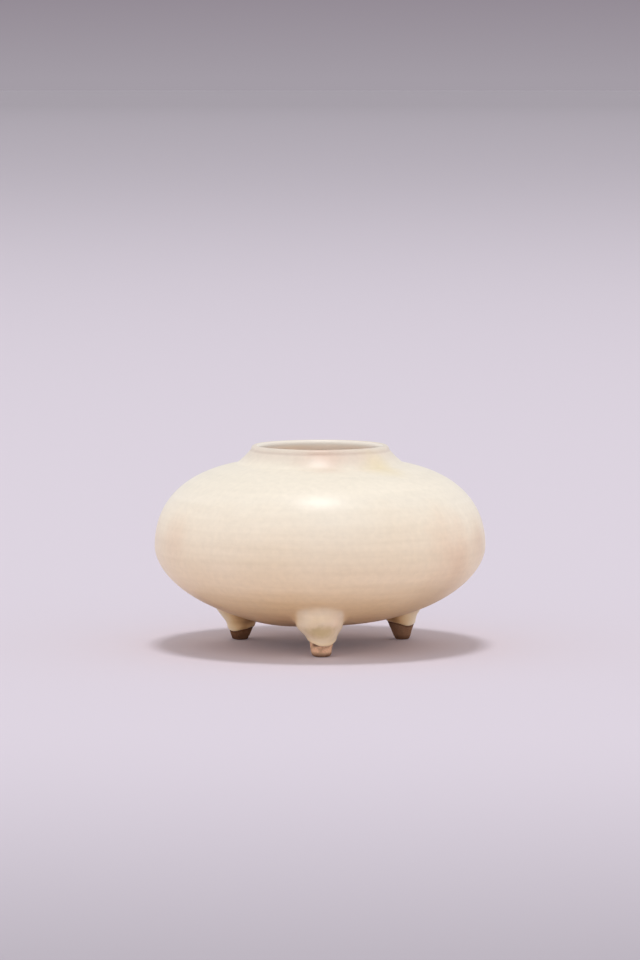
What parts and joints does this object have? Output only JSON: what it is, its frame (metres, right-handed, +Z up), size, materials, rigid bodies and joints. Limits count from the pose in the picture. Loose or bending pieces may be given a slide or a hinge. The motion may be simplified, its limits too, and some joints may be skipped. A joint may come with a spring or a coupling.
{
  "type": "water coupe",
  "caption": "Squat round ceramic water pot with a low flared collar and rounded lip, glazed cream inside and out, standing on short tapered feet with bare clay tips.",
  "frame": {"origin": "on the table under the axis of the pot, level with the resting faces of the feet", "axes": "+Z up along the axis of the pot, -Y towards the foot that faces the viewer, +X to the viewer's right"},
  "size_m": [0.09, 0.09, 0.0547],
  "materials": {
    "stoneware_body": "fired buff stoneware, wheel thrown",
    "bare_foot_clay": "bare fired clay, rough, darker at the worn tip",
    "luting_slip": "fired slip",
    "cream_glaze": "semi-gloss cream glaze",
    "inner_cream_glaze": "semi-gloss cream glaze"
  },
  "bodies": {
    "root": {"lower_bowl": "stoneware_body", "upper_bowl": "stoneware_body", "mouth_ring": "stoneware_body", "foot_front": "bare_foot_clay", "foot_left": "bare_foot_clay", "foot_right": "bare_foot_clay", "belly_slip": "luting_slip", "neck_slip": "luting_slip", "foot_slip": "luting_slip", "outer_glaze": "cream_glaze", "inner_glaze": "inner_cream_glaze"}
  },
  "joints": []
}
